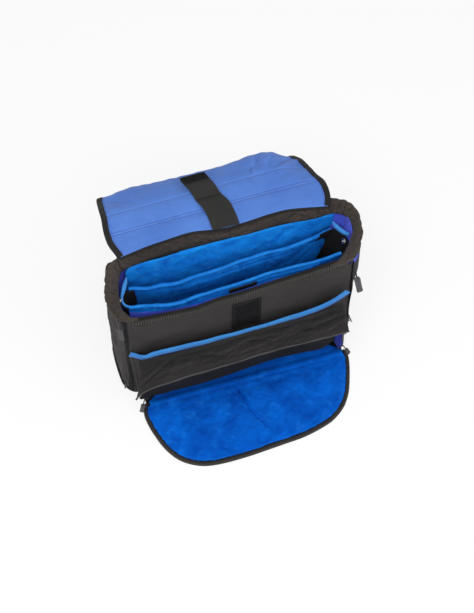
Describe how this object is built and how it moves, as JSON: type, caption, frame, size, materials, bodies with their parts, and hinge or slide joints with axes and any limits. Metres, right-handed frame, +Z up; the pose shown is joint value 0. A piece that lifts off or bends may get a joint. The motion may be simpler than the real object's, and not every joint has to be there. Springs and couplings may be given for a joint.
{
  "type": "messenger bag",
  "caption": "Soft messenger bag standing open: flap thrown back, padded plush dividers, slip pocket and a drop-down front pocket door.",
  "frame": {"origin": "middle of the main compartment's underside, on the ground", "axes": "+X along the bag's width to the right of someone facing its front pocket, +Y from the front pocket to the back, +Z up"},
  "size_m": [0.424, 0.4433, 0.2983],
  "materials": {
    "nylon": "matt woven nylon, coated behind",
    "black_trim": "ribbed tape and binding",
    "webbing": "flat woven webbing",
    "hook_and_loop": "hook and loop tape",
    "plush": "short soft pile",
    "lining_nylon": "smooth light nylon with a soft sheen",
    "blue_binding": "ribbed binding tape",
    "foam": "closed-cell foam, hidden",
    "board": "stiff sheet, hidden",
    "zinc": "dark plated zinc",
    "pull_tag": "moulded grey tag on a metal pull"
  },
  "bodies": {
    "bag": {"base_panel": "nylon", "base_board": "board", "back_panel": "nylon", "back_foam": "foam", "back_lining": "plush", "front_panel": "nylon", "front_hem": "black_trim", "front_patch": "hook_and_loop", "side_panel_left": "nylon", "side_panel_right": "nylon", "side_lining_left": "lining_nylon", "side_lining_right": "lining_nylon", "collar_back": "nylon", "collar_left": "nylon", "collar_right": "nylon", "rim_snaps": "zinc", "divider_rear": "plush", "divider_front": "plush", "divider_patch": "hook_and_loop", "bellows_left": "black_trim", "bellows_right": "black_trim", "slip_panel": "nylon", "slip_binding": "blue_binding", "pocket_floor": "nylon", "pocket_gusset_left": "nylon", "pocket_gusset_right": "nylon", "side_zip_left": "black_trim", "side_zip_right": "black_trim", "door_slider_left": "zinc", "door_slider_right": "zinc"},
    "slider_left_upper": {"slider_left_upper": "zinc"},
    "slider_left_lower": {"slider_left_lower": "zinc"},
    "slider_right_upper": {"slider_right_upper": "zinc"},
    "slider_right_lower": {"slider_right_lower": "zinc"},
    "pull_left_upper": {"pull_left_upper": "pull_tag"},
    "pull_left_lower": {"pull_left_lower": "zinc"},
    "pull_right_upper": {"pull_right_upper": "pull_tag"},
    "pull_right_lower": {"pull_right_lower": "zinc"},
    "door_pull_left": {"door_pull_left": "zinc"},
    "door_pull_right": {"door_pull_right": "zinc"},
    "door": {"door_shell": "nylon", "door_pad": "plush", "door_zip": "black_trim"},
    "pocket_roof": {"pocket_roof": "nylon", "roof_piping": "black_trim"},
    "pocket_lip": {"pocket_lip": "black_trim"},
    "flap_top": {"flap_top_shell": "nylon", "flap_top_lining": "lining_nylon"},
    "flap_bend": {"flap_bend_shell": "nylon", "flap_bend_lining": "lining_nylon"},
    "flap_face": {"flap_face_shell": "nylon", "flap_face_lining": "lining_nylon"},
    "flap_tail": {"flap_tail_shell": "nylon", "flap_tail_lining": "lining_nylon"},
    "strap_root": {"strap_root": "webbing"},
    "strap_end": {"strap_end": "webbing"},
    "strap_tail": {"strap_tail": "webbing", "strap_hook_pad": "hook_and_loop"}
  },
  "joints": [
    {"name": "flap_close", "type": "hinge", "parent": "bag", "child": "flap_top", "pos_m": [0, 0.057, 0.2819], "axis": [1, 0, 0], "range_deg": [0, 165]},
    {"name": "flap_bend_fold", "type": "hinge", "parent": "flap_top", "child": "flap_bend", "pos_m": [0, 0.12946, 0.288], "axis": [1, 0, 0], "range_deg": [0, 61]},
    {"name": "flap_face_fold", "type": "hinge", "parent": "flap_bend", "child": "flap_face", "pos_m": [0, 0.18045, 0.26739], "axis": [1, 0, 0], "range_deg": [0, 101]},
    {"name": "flap_tail_fold", "type": "hinge", "parent": "flap_face", "child": "flap_tail", "pos_m": [0, 0.18684, 0.14556], "axis": [1, 0, 0], "range_deg": [0, 11]},
    {"name": "strap_close", "type": "hinge", "parent": "bag", "child": "strap_root", "pos_m": [0, 0.057, 0.2819], "axis": [1, 0, 0], "range_deg": [0, 170]},
    {"name": "strap_fold", "type": "hinge", "parent": "strap_root", "child": "strap_end", "pos_m": [0, 0.11018, 0.29283], "axis": [1, 0, 0], "range_deg": [0, 20]},
    {"name": "strap_tail_unfold", "type": "hinge", "parent": "strap_end", "child": "strap_tail", "pos_m": [0, 0.17218, 0.29493], "axis": [-1, 0, 0], "range_deg": [0, 98]},
    {"name": "door_close", "type": "hinge", "parent": "bag", "child": "door", "pos_m": [0, -0.085, 0.004], "axis": [-1, 0, 0], "range_deg": [0, 78]},
    {"name": "roof_lift", "type": "hinge", "parent": "bag", "child": "pocket_roof", "pos_m": [0, -0.07636, 0.147], "axis": [-1, 0, 0], "range_deg": [0, 39]},
    {"name": "lip_fold", "type": "hinge", "parent": "pocket_roof", "child": "pocket_lip", "pos_m": [0, -0.1121, 0.11805], "axis": [1, 0, 0], "range_deg": [0, 51]},
    {"name": "slider_left_upper_slide", "type": "slide", "parent": "bag", "child": "slider_left_upper", "axis": [0, 0, -1], "range_m": [0, 0.11]},
    {"name": "pull_left_upper_swing", "type": "hinge", "parent": "slider_left_upper", "child": "pull_left_upper", "pos_m": [-0.2065, -0.042, 0.226], "axis": [0, 1, 0], "range_deg": [0, 150]},
    {"name": "slider_left_lower_slide", "type": "slide", "parent": "bag", "child": "slider_left_lower", "axis": [0, 0, 1], "range_m": [0, 0.035]},
    {"name": "pull_left_lower_swing", "type": "hinge", "parent": "slider_left_lower", "child": "pull_left_lower", "pos_m": [-0.2065, -0.042, 0.022], "axis": [0, 1, 0], "range_deg": [0, 150]},
    {"name": "slider_right_upper_slide", "type": "slide", "parent": "bag", "child": "slider_right_upper", "axis": [0, 0, -1], "range_m": [-0.029, 0.08]},
    {"name": "pull_right_upper_swing", "type": "hinge", "parent": "slider_right_upper", "child": "pull_right_upper", "pos_m": [0.2065, -0.042, 0.196], "axis": [0, -1, 0], "range_deg": [0, 150]},
    {"name": "slider_right_lower_slide", "type": "slide", "parent": "bag", "child": "slider_right_lower", "axis": [0, 0, 1], "range_m": [-0.02, 0.02]},
    {"name": "pull_right_lower_swing", "type": "hinge", "parent": "slider_right_lower", "child": "pull_right_lower", "pos_m": [0.2065, -0.042, 0.042], "axis": [0, -1, 0], "range_deg": [0, 150]},
    {"name": "door_pull_left_swing", "type": "hinge", "parent": "bag", "child": "door_pull_left", "pos_m": [-0.1807, -0.0765, 0.02], "axis": [0, 1, 0], "range_deg": [0, 130]},
    {"name": "door_pull_right_swing", "type": "hinge", "parent": "bag", "child": "door_pull_right", "pos_m": [0.1807, -0.0765, 0.02], "axis": [0, -1, 0], "range_deg": [0, 130]}
  ],
  "couplings": [
    {"joint": "flap_bend_fold", "follows": "flap_close", "ratio": 0.3697},
    {"joint": "flap_face_fold", "follows": "flap_close", "ratio": 0.61212},
    {"joint": "flap_tail_fold", "follows": "flap_close", "ratio": 0.066667},
    {"joint": "strap_close", "follows": "flap_close", "ratio": 1.0303},
    {"joint": "strap_fold", "follows": "flap_close", "ratio": 0.12121},
    {"joint": "roof_lift", "follows": "door_close", "ratio": 0.5},
    {"joint": "lip_fold", "follows": "door_close", "ratio": 0.65385}
  ]
}
